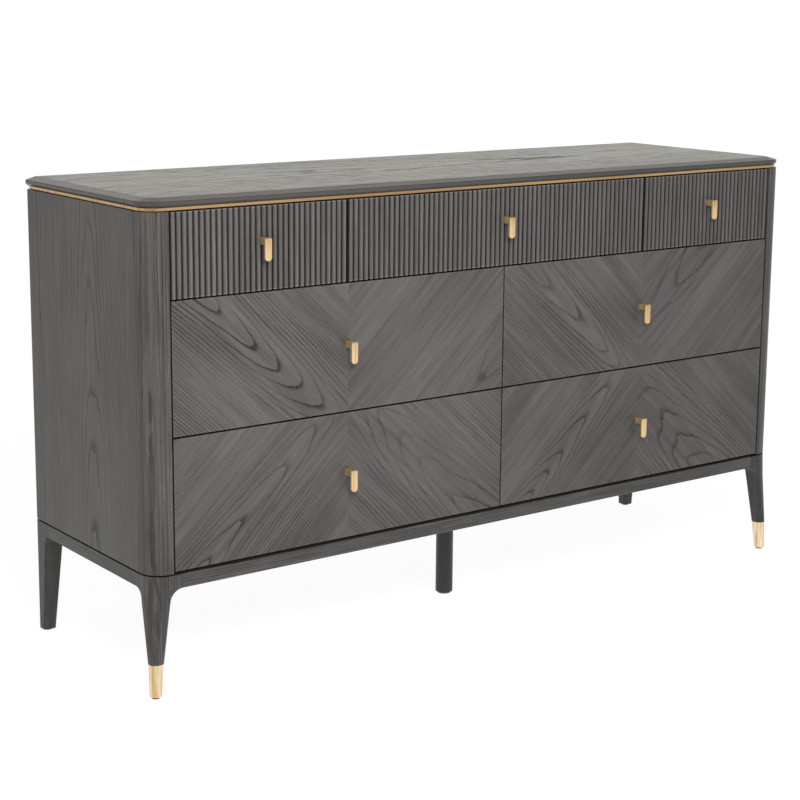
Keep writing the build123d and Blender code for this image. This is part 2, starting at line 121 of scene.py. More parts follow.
def add(tree: Tree, kind: Kind, *values: Any, named: dict[str, Any] | None = None, stops: Stops = (),
        **settings: Any) -> Node:
    """Adds a node with its settings, and sets or links its inputs.

    Args:
        tree: the node tree to add to.
        kind: the kind of node.
        values: its inputs in order, each a value, a socket, or a node whose first output is meant.
        named: further inputs by name.
        stops: position and hex colour of each stop of a colour ramp, in order.
        settings: properties of the node itself.

    Returns:
        The new node.
    """
    node = tree.nodes.new(kind.value)
    for key, value in settings.items():
        setattr(node, key, value)
    for key, value in [*enumerate(values), *(named or {}).items()]:
        if isinstance(value, Node):
            value = value.outputs[0]
        if isinstance(value, Socket):
            tree.links.new(value, node.inputs[key])
        else:
            node.inputs[key].default_value = value
    if stops:
        elements = node.color_ramp.elements
        while len(elements) < len(stops):
            elements.new(0.5)
        for element, (position, colour) in zip(elements, stops):
            element.position = position
            element.color = linear(colour)
    return node


def object_axes(tree: Tree) -> bpy.types.bpy_prop_collection:
    """Gives the sockets of a piece's X, Y and Z."""
    return add(tree, Kind.SPLIT, add(tree, Kind.COORDINATES).outputs["Object"]).outputs


def new_material(name: str) -> tuple[Material, Tree, Node]:
    """Makes an empty node material.

    Args:
        name: the material's name.

    Returns:
        The material, its tree and its principled shader.
    """
    material = bpy.data.materials.new(name)
    material.use_nodes = True
    tree = material.node_tree
    return material, tree, tree.nodes["Principled BSDF"]


def wire(tree: Tree, shader: Node, colour: Node, rough: Node, bump: Node) -> None:
    """Links a finish to its shader.

    Args:
        tree: the node tree.
        shader: the principled shader.
        colour: what gives the base colour.
        rough: what gives the roughness.
        bump: what gives the relief.
    """
    for socket, source in (("Base Color", colour), ("Roughness", rough), ("Normal", bump)):
        tree.links.new(source.outputs[0], shader.inputs[socket])


@dataclass(frozen=True)
class Cut:
    """How a piece was sawn from the log.

    Args:
        grain: direction of the grain.
        centre: a point on the log's axis, in metres.
        seed: which log, so that no two pieces share their figure.
        face: the local axis that points out of the shown face.
        pith_depth: how far the log's heart lies below that face, in metres.
        lean: rise of the heart per metre along the grain, which makes the cathedral figure.
        fold_x: where two leaves meet edge to edge, or None on a single leaf.
        leaf_slip: how far each leaf is slipped up or down, so that the two differ.
        leaf_lines: strength of the growth lines on the left leaf and on the right.
        front: node of a drawer front, into whose grooves, crests, edges and ends painted shade and painted
            highlights are put, or None.
        sanded_below: height below which the grain is filled and sanded smooth, or None.
    """

    grain: Grain
    centre: Triple
    seed: float
    face: Face = Face.TOP_OR_SIDE
    pith_depth: float = 0.09
    lean: float = 0.05
    fold_x: float | None = None
    leaf_slip: float = 0.0
    leaf_lines: Pair = (1.0, 1.0)
    front: str | None = None
    sanded_below: float | None = None


@dataclass(frozen=True)
class LogAxes:
    """A piece's place in its log.

    Args:
        along: distance along the log.
        across: distance across it.
        depth: distance out of it.
        seed: which log.
        lines: how strongly its growth lines show.
    """

    along: Socket
    across: Socket
    depth: Socket
    seed: float
    lines: Node | float

    def noise(self, tree: Tree, cell: Pair, detail: float = NOISE_DETAIL) -> Node:
        """Adds a noise whose cells have a real size along and across the log.

        Args:
            tree: the node tree to add to.
            cell: size of a cell along the log and across it, in metres.
            detail: octaves of finer noise.

        Returns:
            The noise from zero to one.
        """
        length, width = cell
        axes = zip((self.along, self.across, self.depth), (length, width, width), SEED_STEPS)
        scaled = [add(tree, Kind.MATH, axis, 1 / size, self.seed * step, operation="MULTIPLY_ADD")
                  for axis, size, step in axes]
        return add(tree, Kind.NOISE, named={"Vector": add(tree, Kind.JOIN, *scaled), "Scale": 1.0,
                                            "Detail": detail, "Roughness": WOOD_NOISE_ROUGHNESS})


@dataclass(frozen=True)
class StainedOak:
    """Open-grain oak under a charcoal stain and a satin lacquer: warm grey ground, thin dark growth lines,
    streaks and open pores along the grain, and a sheen that whitens at a shallow angle.

    Lengths are in metres. A cell is the length and width of a pattern's patches. A weight is how far a
    pattern moves the tone, which runs from light at zero to line at one. On a drawer front some weights
    paint shade and highlights into the tone.

    Args:
        light: colour of the palest wood.
        ground: colour of most of the wood.
        shade: colour of its darker streaks.
        line: colour of the growth lines.
        ground_tone: tone of the ground colour.
        shade_tone: tone of the shade colour.
        ring_width: a year's growth.
        ring_weight: weight of the growth lines.
        line_slope: least slope between ring and face, which keeps a line from spreading.
        line_openness: how open the grain is on a line, next to a pore's one.
        wander: how far the heart strays to either side.
        wander_cell: cell of those strays.
        ripple: how far a ring strays by itself.
        ripple_cell: cell of those strays.
        zone_cell: cell of the zones of stronger and weaker lines.
        zone_range: noise at which lines are weakest and strongest.
        zone_floor: strength of the weakest lines.
        dash_cell: cell of the dashes that break a line up.
        dash_detail: octaves of finer noise in them.
        dash_floor: strength of a line between dashes.
        dash_gain: what the dashes add.
        leaf_shift: how far apart in the log two leaves were cut.
        joint_fade: how far from the joint of two leaves lines gain their full strength.
        joint_lines: strength of the lines at the joint.
        streak_width: width of a streak.
        streak_length: length of a streak.
        streak_weight: weight of the streaks.
        fibre_width: width of a bundle of fibres.
        fibre_length: length of a bundle.
        fibre_weight: weight of the fibres.
        pore_width: width of a pore.
        pore_length: length of a pore.
        pore_weight: weight of the pores.
        pore_range: noise at which a pore begins and is fully open.
        pore_crowding: share of the pores that is found on growth lines only.
        cloud_size: width of a cloud in the stain.
        cloud_stretch: length of a cloud for each width.
        cloud_weight: weight of the clouds.
        roughness: roughness of the lacquer.
        pore_roughness: roughness where the grain is open.
        pore_relief: depth of the open grain.
        pore_bump: strength of its relief.
        groove_shade_start: depth at which painted shade begins to gather in a groove.
        groove_shade_depth: depth at which that painted shade is darkest.
        groove_shade_weight: weight of the painted shade in the grooves.
        crest_highlight_weight: weight of the painted highlight on the crests.
        edge_width: width of the painted bands along the edges and ends of a front.
        edge_highlight_and_wear_weight: weight along its upper and lower edge; below zero a painted highlight
            that also reads as wear.
        end_highlight_and_shade_weight: weight down its two ends; below zero a painted highlight that also
            reads as wear, above zero painted shade beside the gaps.
        painted_edge_patch: cell of the patches in those painted bands.
        sanded_fade: height over which sanding ends.
        sanded_share: share of the grain that is left where it is sanded.
        ior: refractive index of the lacquer.
    """

    light: str = "#4F4B49"
    ground: str = "#413E3C"
    shade: str = "#302E2C"
    line: str = "#161615"
    ground_tone: float = 0.30
    shade_tone: float = 0.60
    ring_width: float = 5.2 * MM
    ring_weight: float = 1.0
    line_slope: float = 0.5
    line_openness: float = 0.6
    wander: float = 12.0 * MM
    wander_cell: Pair = (400.0 * MM, 140.0 * MM)
    ripple: float = 1.0 * MM
    ripple_cell: Pair = (50.0 * MM, 12.0 * MM)
    zone_cell: Pair = (350.0 * MM, 60.0 * MM)
    zone_range: Pair = (0.38, 0.64)
    zone_floor: float = 0.25
    dash_cell: Pair = (30.0 * MM, 2.2 * MM)
    dash_detail: float = 1.0
    dash_floor: float = 0.3
    dash_gain: float = 1.2
    leaf_shift: float = 31.0 * MM
    joint_fade: float = 60.0 * MM
    joint_lines: float = 0.35
    streak_width: float = 9.0 * MM
    streak_length: float = 240.0 * MM
    streak_weight: float = 0.72
    fibre_width: float = 2.2 * MM       # coarser than real fibres, so that they show in the render
    fibre_length: float = 90.0 * MM
    fibre_weight: float = 0.4
    pore_width: float = 1.3 * MM        # coarser than real pores, for the same reason
    pore_length: float = 17.0 * MM
    pore_weight: float = 0.22
    pore_range: Pair = (0.54, 0.70)
    pore_crowding: float = 0.6
    cloud_size: float = 90.0 * MM
    cloud_stretch: float = 3.0
    cloud_weight: float = 0.6
    roughness: float = 0.42
    pore_roughness: float = 0.60
    pore_relief: float = 0.25 * MM
    pore_bump: float = 0.35
    groove_shade_start: float = 0.7 * MM
    groove_shade_depth: float = 4.2 * MM
    groove_shade_weight: float = 0.75
    crest_highlight_weight: float = 0.0
    edge_width: float = 2.2 * MM
    edge_highlight_and_wear_weight: float = -0.5
    end_highlight_and_shade_weight: float = -0.5
    painted_edge_patch: Pair = (60.0 * MM, 60.0 * MM)
    sanded_fade: float = 1.5 * MM
    sanded_share: float = 0.2
    ior: float = 1.5

    def material(self, name: str, cut: Cut) -> Material:
        """Builds the finish for one piece.

        Args:
            name: the material's name.
            cut: how the piece was sawn.

        Returns:
            The material.
        """
        material, tree, shader = new_material(name)
        log = self._log_axes(tree, cut)
        rings = self._rings(tree, cut, log)
        pores = self._pores(tree, log, rings)
        tone = add(tree, Kind.MATH, rings, self.ring_weight, self.ground_tone, operation="MULTIPLY_ADD")
        tone = add(tree, Kind.MATH, pores, self.pore_weight, tone, operation="MULTIPLY_ADD")
        drifts = [((self.streak_length, self.streak_width), self.streak_weight),
                  ((self.fibre_length, self.fibre_width), self.fibre_weight),
                  ((self.cloud_stretch * self.cloud_size, self.cloud_size), self.cloud_weight)]
        for cell, weight in drifts:
            drift = add(tree, Kind.MATH, log.noise(tree, cell), NOISE_MIDDLE, operation="SUBTRACT")
            tone = add(tree, Kind.MATH, drift, weight, tone, operation="MULTIPLY_ADD")
        # On a drawer front, painted shade and painted highlights are added to the tone.
        if cut.front is not None:
            painted_light_and_shade = self._painted_front_light_and_shade(tree, log, *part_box(cut.front))
            tone = add(tree, Kind.MATH, tone, painted_light_and_shade, operation="ADD")
        open_grain = add(tree, Kind.MATH, rings, self.line_openness, pores, operation="MULTIPLY_ADD")
        if cut.sanded_below is not None:
            kept = self._kept_grain(tree, cut.sanded_below)
            figure = add(tree, Kind.MATH, tone, self.ground_tone, operation="SUBTRACT")
            tone = add(tree, Kind.MATH, figure, kept, self.ground_tone, operation="MULTIPLY_ADD")
            open_grain = add(tree, Kind.MATH, open_grain, kept, operation="MULTIPLY")
        colour = add(tree, Kind.RAMP, tone, stops=[(0.0, self.light), (self.ground_tone, self.ground),
                                                   (self.shade_tone, self.shade), (1.0, self.line)])
        rough = add(tree, Kind.RANGE, open_grain, 0.0, 1.0, self.roughness, self.pore_roughness)
        height = add(tree, Kind.MATH, 1.0, open_grain, operation="SUBTRACT")
        bump = add(tree, Kind.BUMP, named={"Strength": self.pore_bump, "Distance": self.pore_relief,
                                           "Height": height})
        wire(tree, shader, colour, rough, bump)
        shader.inputs["IOR"].default_value = self.ior
        return material

    def _kept_grain(self, tree: Tree, height: float) -> Node:
        """Finds how much of the grain is left open, little of it below a height.

        Args:
            tree: the node tree to add to.
            height: where the grain is fully open, in metres.

        Returns:
            The share of the grain from zero to one.
        """
        return add(tree, Kind.RANGE, object_axes(tree)["Z"], height - self.sanded_fade, height,
                   self.sanded_share, 1.0)

    def _painted_front_light_and_shade(self, tree: Tree, log: LogAxes, low: Vector, high: Vector) -> Node:
        """Paints shade into a front's grooves and a highlight onto its crests. Along its edges and ends it
        paints highlights that also read as wear, and where an end's weight is above zero it paints shade
        beside the gap instead.

        Args:
            tree: the node tree to add to.
            log: the log's axes.
            low: lowest corner of the front.
            high: highest corner of the front.

        Returns:
            What to add to the tone.
        """
        axes = object_axes(tree)
        # Painted shade darkens the groove with depth; a painted highlight lightens the crest in front of it.
        groove_y = low.y + self.groove_shade_start
        groove_shade_mask = add(tree, Kind.RANGE, axes["Y"], groove_y, low.y + self.groove_shade_depth, 0.0, 1.0)
        crest_highlight_mask = add(tree, Kind.RANGE, axes["Y"], low.y, groove_y, 1.0, 0.0)
        tone = add(tree, Kind.MATH, groove_shade_mask, self.groove_shade_weight, operation="MULTIPLY")
        tone = add(tree, Kind.MATH, crest_highlight_mask, -self.crest_highlight_weight, tone, operation="MULTIPLY_ADD")
        # The bands along the edges and ends carry a painted highlight where their weight is below zero and
        # painted shade where it is above.
        patchy = log.noise(tree, self.painted_edge_patch)
        for axis, near, far, weight in (("X", low.x, high.x, self.end_highlight_and_shade_weight),
                                        ("Z", low.z, high.z, self.edge_highlight_and_wear_weight)):
            offset = add(tree, Kind.MATH, axes[axis], (near + far) / 2, operation="SUBTRACT")
            distance = add(tree, Kind.MATH, offset, operation="ABSOLUTE")
            inset = add(tree, Kind.MATH, (far - near) / 2, distance, operation="SUBTRACT")
            painted_band = add(tree, Kind.RANGE, inset, 0.0, self.edge_width, 1.0, 0.0)
            painted_light_and_shade = add(tree, Kind.MATH, painted_band, patchy, operation="MULTIPLY")
            tone = add(tree, Kind.MATH, painted_light_and_shade, weight, tone, operation="MULTIPLY_ADD")
        return tone

    def _log_axes(self, tree: Tree, cut: Cut) -> LogAxes:
        """Turns object coordinates into distances along, across and out of the log.

        Args:
            tree: the node tree to add to.
            cut: how the piece was sawn.

        Returns:
            The log's axes.
        """
        place = add(tree, Kind.COORDINATES).outputs["Object"]
        lines = 1.0
        if cut.fold_x is not None:
            place, lines = self._folded(tree, cut)
        turn = [math.radians(angle) for angle in cut.grain.value]
        turned = add(tree, Kind.TURN, vector_type="TEXTURE",
                     named={"Vector": place, "Location": cut.centre, "Rotation": turn})
        axes = add(tree, Kind.SPLIT, turned).outputs
        if cut.face is Face.FRONT:
            return LogAxes(axes["X"], axes["Z"], axes["Y"], cut.seed, lines)
        return LogAxes(axes["X"], axes["Y"], axes["Z"], cut.seed, lines)

    def _folded(self, tree: Tree, cut: Cut) -> tuple[Node, Node]:
        """Mirrors the grain's direction about an upright joint, with another leaf on each side.

        Args:
            tree: the node tree to add to.
            cut: how the piece was sawn.

        Returns:
            The folded coordinates, and how strongly lines show on the leaf.
        """
        axes = object_axes(tree)
        offset = add(tree, Kind.MATH, axes["X"], cut.fold_x, operation="SUBTRACT")
        distance = add(tree, Kind.MATH, offset, operation="ABSOLUTE")
        side = add(tree, Kind.MATH, offset, operation="SIGN")
        leaf = add(tree, Kind.MATH, side, self.leaf_shift, axes["Y"], operation="MULTIPLY_ADD")
        slip = add(tree, Kind.MATH, side, cut.leaf_slip, axes["Z"], operation="MULTIPLY_ADD")
        left, right = cut.leaf_lines
        lines = add(tree, Kind.MATH, side, (right - left) / 2, (right + left) / 2, operation="MULTIPLY_ADD")
        faint = add(tree, Kind.RANGE, distance, 0.0, self.joint_fade, self.joint_lines, 1.0)
        lines = add(tree, Kind.MATH, lines, faint, operation="MULTIPLY")
        return add(tree, Kind.JOIN, distance, leaf, slip), lines

    def _rings(self, tree: Tree, cut: Cut, log: LogAxes) -> Node:
        """Growth rings about a leaning, wandering heart, as dark lines that come and go.

        Args:
            tree: the node tree to add to.
            cut: how the piece was sawn.
            log: the log's axes.

        Returns:
            The line strength from zero to one.
        """
        # The noises run half to either side, so their reach is doubled.
        slow = add(tree, Kind.MATH, log.noise(tree, self.wander_cell), NOISE_MIDDLE, operation="SUBTRACT")
        fine = add(tree, Kind.MATH, log.noise(tree, self.ripple_cell), NOISE_MIDDLE, operation="SUBTRACT")
        heart = add(tree, Kind.MATH, slow, 2 * self.wander, log.depth, operation="MULTIPLY_ADD")
        heart = add(tree, Kind.MATH, log.along, cut.lean, heart, operation="MULTIPLY_ADD")
        heart = add(tree, Kind.MATH, heart, cut.pith_depth, operation="ADD")
        square = add(tree, Kind.MATH, heart, heart, operation="MULTIPLY")
        square = add(tree, Kind.MATH, log.across, log.across, square, operation="MULTIPLY_ADD")
        radius = add(tree, Kind.MATH, square, operation="SQRT")
        radius = add(tree, Kind.MATH, fine, 2 * self.ripple, radius, operation="MULTIPLY_ADD")
        count = add(tree, Kind.MATH, radius, self.ring_width, operation="DIVIDE")
        phase = add(tree, Kind.MATH, count, operation="FRACT")
        # A line looks broad where its ring lies nearly flat in the face, so it is narrowed by the slope.
        rise = add(tree, Kind.MATH, heart, cut.lean, operation="MULTIPLY")
        run = add(tree, Kind.MATH, rise, rise, operation="MULTIPLY")
        run = add(tree, Kind.MATH, log.across, log.across, run, operation="MULTIPLY_ADD")
        run = add(tree, Kind.MATH, run, operation="SQRT")
        slope = add(tree, Kind.MATH, run, radius, operation="DIVIDE")
        slope = add(tree, Kind.MATH, slope, self.line_slope, operation="MAXIMUM")
        from_line = add(tree, Kind.MATH, phase, slope, operation="DIVIDE")
        profile = add(tree, Kind.RAMP, from_line, stops=LINE_PROFILE)
        zones = log.noise(tree, self.zone_cell)
        strength = add(tree, Kind.RANGE, zones, *self.zone_range, self.zone_floor, 1.0)
        strength = add(tree, Kind.MATH, strength, log.lines, operation="MULTIPLY")
        dashes = log.noise(tree, self.dash_cell, self.dash_detail)
        dashes = add(tree, Kind.MATH, dashes, self.dash_gain, self.dash_floor, operation="MULTIPLY_ADD")
        broken = add(tree, Kind.MATH, strength, dashes, operation="MULTIPLY")
        return add(tree, Kind.MATH, profile, broken, operation="MULTIPLY")

    def _pores(self, tree: Tree, log: LogAxes, rings: Node) -> Node:
        """Short open pores, crowded on the growth lines.

        Args:
            tree: the node tree to add to.
            log: the log's axes.
            rings: line strength.

        Returns:
            The pores from zero to one.
        """
        dashes = log.noise(tree, (self.pore_length, self.pore_width))
        sharp = add(tree, Kind.RANGE, dashes, *self.pore_range, 0.0, 1.0)
        crowd = add(tree, Kind.MATH, rings, self.pore_crowding, 1 - self.pore_crowding,
                    operation="MULTIPLY_ADD")
        return add(tree, Kind.MATH, sharp, crowd, operation="MULTIPLY")


@dataclass(frozen=True)
class SatinBrass:
    """Brass, linished and lacquered: warm pale gold with fine lengthwise scratches that soften its glints.

    Args:
        bright: colour of the brightest metal.
        dull: colour of the dullest metal.
        roughness: roughness between scratches.
        scratch_roughness: roughness in a scratch.
        scratch_width: width of a scratch, in metres.
        scratch_length: length of a scratch.
        scratch_relief: depth of a scratch.
        scratch_range: noise at which a scratch begins and is deepest.
        scratch_bump: strength of its relief.
        reflection_band_width: width of a band of painted reflection, brighter or duller.
        reflection_band_length: length of such a band.
        reflection_band_share: the painted reflection's share of the tone.
        tone_range: tone of the dull and of the bright colour.
        metallic: one, or less where the lacquer's haze scatters light.
    """

    bright: str = "#DFC296"
    dull: str = "#C8A672"
    roughness: float = 0.20
    scratch_roughness: float = 0.32
    scratch_width: float = 0.5 * MM     # coarser than real scratches, so that they show in the render
    scratch_length: float = 22.0 * MM
    scratch_relief: float = 0.03 * MM
    scratch_range: Pair = (0.3, 0.7)
    scratch_bump: float = 0.3
    reflection_band_width: float = 5.0 * MM
    reflection_band_length: float = 400.0 * MM
    reflection_band_share: float = 0.7
    tone_range: Pair = (0.38, 0.60)
    metallic: float = 1.0

    def material(self, name: str, grain: Grain) -> Material:
        """Builds the finish.

        Args:
            name: the material's name.
            grain: direction of the scratches.

        Returns:
            The material.
        """
        material, tree, shader = new_material(name)
        place = add(tree, Kind.COORDINATES).outputs["Object"]
        turn = [math.radians(angle) for angle in grain.value]
        patterns = []
        for length, width in ((self.scratch_length, self.scratch_width), (self.reflection_band_length, self.reflection_band_width)):
            turned = add(tree, Kind.TURN, vector_type="TEXTURE",
                         named={"Vector": place, "Rotation": turn, "Scale": (length, width, width)})
            patterns.append(add(tree, Kind.NOISE, named={"Vector": turned, "Scale": 1.0,
                                                         "Detail": NOISE_DETAIL}))
        scratch, painted_band = patterns
        # The broad bands are painted reflection: streaks of brighter and duller brass along the grain.
        tone = add(tree, Kind.MATH, painted_band, self.reflection_band_share, operation="MULTIPLY")
        tone = add(tree, Kind.MATH, scratch, 1 - self.reflection_band_share, tone, operation="MULTIPLY_ADD")
        colour = add(tree, Kind.RAMP, tone, stops=list(zip(self.tone_range, (self.dull, self.bright))))
        rough = add(tree, Kind.RANGE, scratch, *self.scratch_range, self.roughness, self.scratch_roughness)
        bump = add(tree, Kind.BUMP, named={"Strength": self.scratch_bump, "Distance": self.scratch_relief,
                                           "Height": scratch})
        wire(tree, shader, colour, rough, bump)
        shader.inputs["Metallic"].default_value = self.metallic
        return material


@dataclass(frozen=True)
class SpeckledFinish:
    """A plain coating or board whose tone and gloss drift a little: paint, moulded plastic, fibreboard,
    zinc plate. The speckle keeps a close view from looking flat.

    Args:
        pale: colour of the palest specks.
        dark: colour of the darkest specks.
        speckle: size of a speck, in metres.
        roughness: lowest roughness.
        roughness_drift: what the drift adds to it.
        metallic: one on metal.
        relief: height of a speck, in metres.
        bump: strength of the relief.
        speckle_detail: octaves of finer noise in the specks.
        drift_size: size of a slow drift, in metres.
        drift_share: the slow drift's share of the tone.
        tone_range: tone of the dark and of the pale colour.
        glow: light that it gives off.
        glow_colour: colour of that light.
    """

    pale: str
    dark: str
    speckle: float
    roughness: float
    roughness_drift: float = 0.12
    metallic: float = 0.0
    relief: float = 0.05 * MM
    bump: float = 0.3
    speckle_detail: float = 3.0
    drift_size: float = 1000.0 / 9 * MM
    drift_share: float = 0.5
    tone_range: Pair = (0.3, 0.7)
    glow: float = 0.0
    glow_colour: str = "#FFFFFF"

    def material(self, name: str) -> Material:
        """Builds the finish.

        Args:
            name: the material's name.

        Returns:
            The material.
        """
        material, tree, shader = new_material(name)
        place = add(tree, Kind.COORDINATES).outputs["Object"]
        fine, slow = [add(tree, Kind.NOISE, named={"Vector": place, "Scale": scale, "Detail": detail})
                      for scale, detail in ((1 / self.speckle, self.speckle_detail),
                                            (1 / self.drift_size, NOISE_DETAIL))]
        tone = add(tree, Kind.MATH, slow, self.drift_share, operation="MULTIPLY")
        tone = add(tree, Kind.MATH, fine, 1 - self.drift_share, tone, operation="MULTIPLY_ADD")
        colour = add(tree, Kind.RAMP, tone, stops=list(zip(self.tone_range, (self.dark, self.pale))))
        rough = add(tree, Kind.RANGE, slow, *self.tone_range, self.roughness,
                    self.roughness + self.roughness_drift)
        bump = add(tree, Kind.BUMP, named={"Strength": self.bump, "Distance": self.relief, "Height": fine})
        wire(tree, shader, colour, rough, bump)
        shader.inputs["Metallic"].default_value = self.metallic
        if self.glow:
            shader.inputs["Emission Color"].default_value = linear(self.glow_colour)
            shader.inputs["Emission Strength"].default_value = self.glow
        return material


# Side panels: flat-sawn oak, whose growth lines stand dark on a warm grey.
OAK = StainedOak()
# Veneer of the lower fronts: the same oak in diagonal leaves, a shade paler.
VENEER_OAK = replace(OAK, light="#555150", ground="#464341", shade="#343230")
# Slab: glossier lacquer, which goes pale at a shallow angle. Seen so, its grain is drawn coarser still.
SLAB_OAK = StainedOak(light="#433F3D", ground="#363331", shade="#272523", line="#121211",
                      ring_width=14.0 * MM, ripple=3.0 * MM, streak_width=16.0 * MM, fibre_width=6.0 * MM,
                      pore_width=4.0 * MM, pore_length=60.0 * MM, roughness=0.25, pore_roughness=0.65,
                      pore_relief=1.0 * MM)
# Reeds: painted highlights on the crests and at their upper and lower ends, painted shade in the grooves and
# down the fronts' ends beside the gaps, which make pale and dark stripes.
REED_OAK = StainedOak(light="#5A5959", ring_weight=0.10, cloud_weight=0.2, streak_weight=0.3, roughness=0.30,
                      groove_shade_start=1.1 * MM, groove_shade_weight=0.55, crest_highlight_weight=0.12, edge_highlight_and_wear_weight=-0.9,
                      end_highlight_and_shade_weight=1.5)
# Posts and rails: straight-grained oak, with fine close lines along the piece.
STRAIGHT_OAK = StainedOak(light="#4D4A48", ground="#3D3A38", shade="#2B2928", line="#151514",
                          ring_width=3.6 * MM, ring_weight=0.6, wander=3.0 * MM, ripple=0.5 * MM,
                          streak_weight=0.8, fibre_weight=0.7, pore_weight=0.4)
# Legs: straight-grained oak, with bolder streaks down the taper.
LEG_OAK = StainedOak(light="#524E4B", ground="#3A3735", shade="#282624", line="#121211", ring_width=3.6 * MM,
                     ring_weight=0.7, wander=3.0 * MM, ripple=0.5 * MM, streak_weight=1.0, fibre_weight=0.9,
                     pore_weight=0.5)
# The legs away from the lamp stand darker in the photograph than their light alone makes them.
# So they get a darker copy of the leg oak: painted shade.
PAINTED_SHADE_LEG_OAK = replace(LEG_OAK, light="#383533", ground="#282624", shade="#1B1A19", line="#0D0D0C")
# Drawer boxes: birch plywood under clear matt lacquer, pale honey with a broad faint figure.
BIRCH = StainedOak(light="#D9BE94", ground="#CDAE80", shade="#BE9C6C", line="#A9865A", ring_width=14.0 * MM,
                   ring_weight=0.45, roughness=0.5, pore_relief=0.08 * MM)
# Inner boards: plywood under a thin dark stain, dull and even.
CARCASE = StainedOak(light="#4C4845", ground="#423F3C", shade="#373432", line="#2A2827",
                     ring_width=11.0 * MM, roughness=0.55)
# Back panel: peeled plywood veneer, whose figure wanders broadly under a dull stain.
BACK_PLY = StainedOak(light="#423E3B", ground="#383532", shade="#2C2A28", line="#1B1A19", ring_width=9.0 * MM,
                      ring_weight=0.8, wander=22.0 * MM, cloud_size=160.0 * MM, roughness=0.55)
# Pulls: the lacquer's haze catches the lamp, so that their stems stay gold beside the dark fronts.
BRASS = SatinBrass(metallic=0.75)
# Strip: drawn brass, a thin line of gold, darkened as painted shade and darker reflection under the slab.
STRIP_BRASS = SatinBrass(bright="#C4A275", dull="#A48458")
# Ferrules: turned brass, with painted reflection: a brighter colour, pale glints and duller bands down the
# taper.
FERRULE_BRASS = SatinBrass(bright="#FBECD2", dull="#C9A66E", roughness=0.16)
# Spacers and front rails: black fibreboard, its black a painted shade that makes a matt shadow line in the
# reveals and gaps.
SHADE_BLACK_FIBREBOARD = SpeckledFinish("#1B1A1A", "#0F0F0F", speckle=1.2 * MM, roughness=0.75)
# Runners and screws: zinc-plated steel, cold grey with a cloudy gloss.
ZINC = SpeckledFinish("#B9BCC0", "#96999D", speckle=6.0 * MM, roughness=0.30, metallic=1.0)
# Glides: moulded nylon, black with a low sheen.
MOULDED = SpeckledFinish("#201F1F", "#151515", speckle=0.8 * MM, roughness=0.45)
# Support leg: black paint, an even dark satin.
BLACK_PAINT = SpeckledFinish("#212124", "#161619", speckle=2.0 * MM, roughness=0.36)
# Floor: white acrylic sheet lit from below, as white and even as the photograph's ground.
ACRYLIC = SpeckledFinish("#6E6E6E", "#6A6A6A", speckle=40.0 * MM, roughness=0.9, relief=0.0, glow=0.92)


def dress(node: str, material: Material) -> None:
    """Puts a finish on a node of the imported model.

    Args:
        node: the node's name.
        material: the finish.
    """
    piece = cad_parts[node]
    for slot in piece.material_slots:
        slot.material = material
    LOG.info("dressed %s in %s", node, material.name)


def middle(node: str) -> Vector:
    """Gives the middle of a node's box."""
    low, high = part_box(node)
    return (low + high) / 2


def sawn(node: str, grain: Grain, heart: Triple, seed: float, **how: Any) -> Cut:
    """Saws a piece from a log that lies near it.

    Args:
        node: the piece's node.
        grain: direction of the grain.
        heart: from the piece's middle to a point on the log's axis, in metres.
        seed: which log.
        how: the cut's other fields.

    Returns:
        The cut.
    """
    return Cut(grain, tuple(middle(node) + Vector(heart)), seed, **how)


def settle(shape: Shape, name: str, material: Material, body: str,
           sharp_degrees: float = 35.0) -> Piece:
    """Turns a finished bmesh into a piece that rides on a body.

    Args:
        shape: the shape, in place.
        name: the piece's name.
        material: its finish.
        body: the body that it moves with.
        sharp_degrees: edges that turn by more than this stay sharp.

    Returns:
        The new object.
    """
    mesh = bpy.data.meshes.new(name)
    bmesh.ops.recalc_face_normals(shape, faces=shape.faces)
    shape.to_mesh(mesh)
    shape.free()
    mesh.materials.append(material)
    mesh.polygons.foreach_set("use_smooth", [True] * len(mesh.polygons))
    mesh.set_sharp_from_angle(angle=math.radians(sharp_degrees))
    piece = bpy.data.objects.new(name, mesh)
    bpy.context.scene.collection.objects.link(piece)
    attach(piece, body)
    LOG.info("built %s with %d faces", name, len(mesh.polygons))
    return piece


def edges_of(made: dict[str, Any]) -> list[Edge]:
    """Lists the edges of a shape that an operator has just made, each once and in a fixed order."""
    return list(dict.fromkeys(edge for vert in made["verts"] for edge in vert.link_edges))


def block(shape: Shape, low: Vector, high: Vector) -> list[Edge]:
    """Adds a box between two corners.

    Args:
        shape: the bmesh to add to.
        low: lowest corner.
        high: highest corner.

    Returns:
        The box's edges.
    """
    place = Matrix.Translation((low + high) / 2) @ Matrix.Diagonal((*(high - low), 1.0))
    return edges_of(bmesh.ops.create_cube(shape, size=1.0, matrix=place))


def through(edges: list[Edge]) -> list[Edge]:
    """Picks the edges that run from front to back."""
    return [edge for edge in edges if abs(edge.verts[0].co.y - edge.verts[1].co.y) > MM]


def behind(edges: list[Edge], face_y: float) -> list[Edge]:
    """Picks the edges that lie on a face at the back."""
    return [edge for edge in edges if all(vert.co.y > face_y - ON_FACE for vert in edge.verts)]


def soften(shape: Shape, edges: list[Edge], radius: float, segments: int) -> None:
    """Rounds edges.

    Args:
        shape: the bmesh.
        edges: edges to round.
        radius: width of the round.
        segments: steps in the round.
    """
    bmesh.ops.bevel(shape, geom=edges, offset=radius, offset_type="OFFSET", affect="EDGES",
                    segments=segments, profile=0.5, material=-1, clamp_overlap=True)


